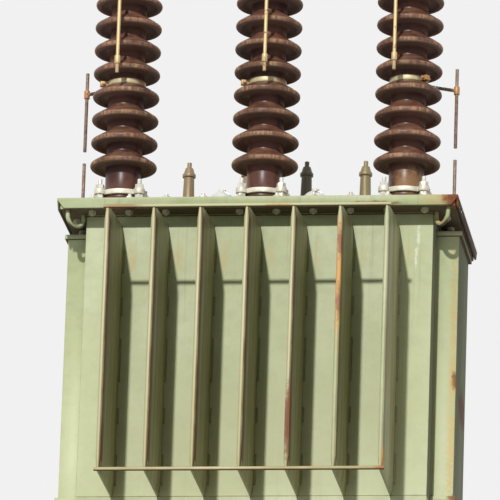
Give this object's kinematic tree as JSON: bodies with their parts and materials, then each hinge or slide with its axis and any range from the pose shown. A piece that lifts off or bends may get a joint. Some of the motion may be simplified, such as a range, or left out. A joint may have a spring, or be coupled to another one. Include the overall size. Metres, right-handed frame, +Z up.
{
  "type": "oil-filled distribution transformer",
  "caption": "Outdoor oil-filled transformer: finned green steel tank, tray lid, tall brown porcelain bushings with arcing horns, and small low-voltage bushings behind.",
  "frame": {"origin": "on the ground under the middle of the tank", "axes": "+Z up, +X to the right along the row of tall bushings, -Y towards their side"},
  "size_m": [1.042, 0.86, 1.7],
  "materials": {
    "tank_paint": "weathered grey-green gloss paint with rust at edges",
    "bar_paint": "grey-green paint worn through to rust",
    "gasket_rubber": "black, matt",
    "brown_porcelain": "dark brown glaze with dust",
    "galvanised": "dull galvanised",
    "horn_metal": "weathered tan metal",
    "terminal_metal": "dull weathered metal",
    "cover_white": "white paint"
  },
  "bodies": {
    "root": {"tank_front_wall": "tank_paint", "tank_back_wall": "tank_paint", "tank_left_wall": "tank_paint", "tank_right_wall": "tank_paint", "end_box_left": "tank_paint", "end_box_right": "tank_paint", "base_pan": "tank_paint", "base_skid_left": "tank_paint", "base_skid_right": "tank_paint", "tank_rim": "tank_paint", "lid": "tank_paint", "lifting_loops": "tank_paint", "front_fin_1": "tank_paint", "back_fin_1": "tank_paint", "front_fin_2": "tank_paint", "back_fin_2": "tank_paint", "front_fin_3": "tank_paint", "back_fin_3": "tank_paint", "front_fin_4": "tank_paint", "back_fin_4": "tank_paint", "front_fin_5": "tank_paint", "back_fin_5": "tank_paint", "front_fin_6": "tank_paint", "back_fin_6": "tank_paint", "front_fin_7": "tank_paint", "back_fin_7": "tank_paint", "front_top_bar": "bar_paint", "front_bottom_bar": "bar_paint", "back_top_bar": "bar_paint", "back_bottom_bar": "bar_paint", "lid_gasket": "gasket_rubber", "lid_domes": "cover_white", "hv_porcelain_1": "brown_porcelain", "hv_clamp_ring_1": "galvanised", "hv_cap_1": "galvanised", "hv_horns_1": "horn_metal", "hv_porcelain_2": "brown_porcelain", "hv_clamp_ring_2": "galvanised", "hv_cap_2": "galvanised", "hv_horns_2": "horn_metal", "hv_porcelain_3": "brown_porcelain", "hv_clamp_ring_3": "galvanised", "hv_cap_3": "galvanised", "hv_horns_3": "horn_metal", "lv_porcelain_1": "brown_porcelain", "lv_porcelain_2": "brown_porcelain", "lv_porcelain_3": "brown_porcelain", "lv_porcelain_4": "brown_porcelain", "lv_terminals": "terminal_metal"}
  },
  "joints": []
}
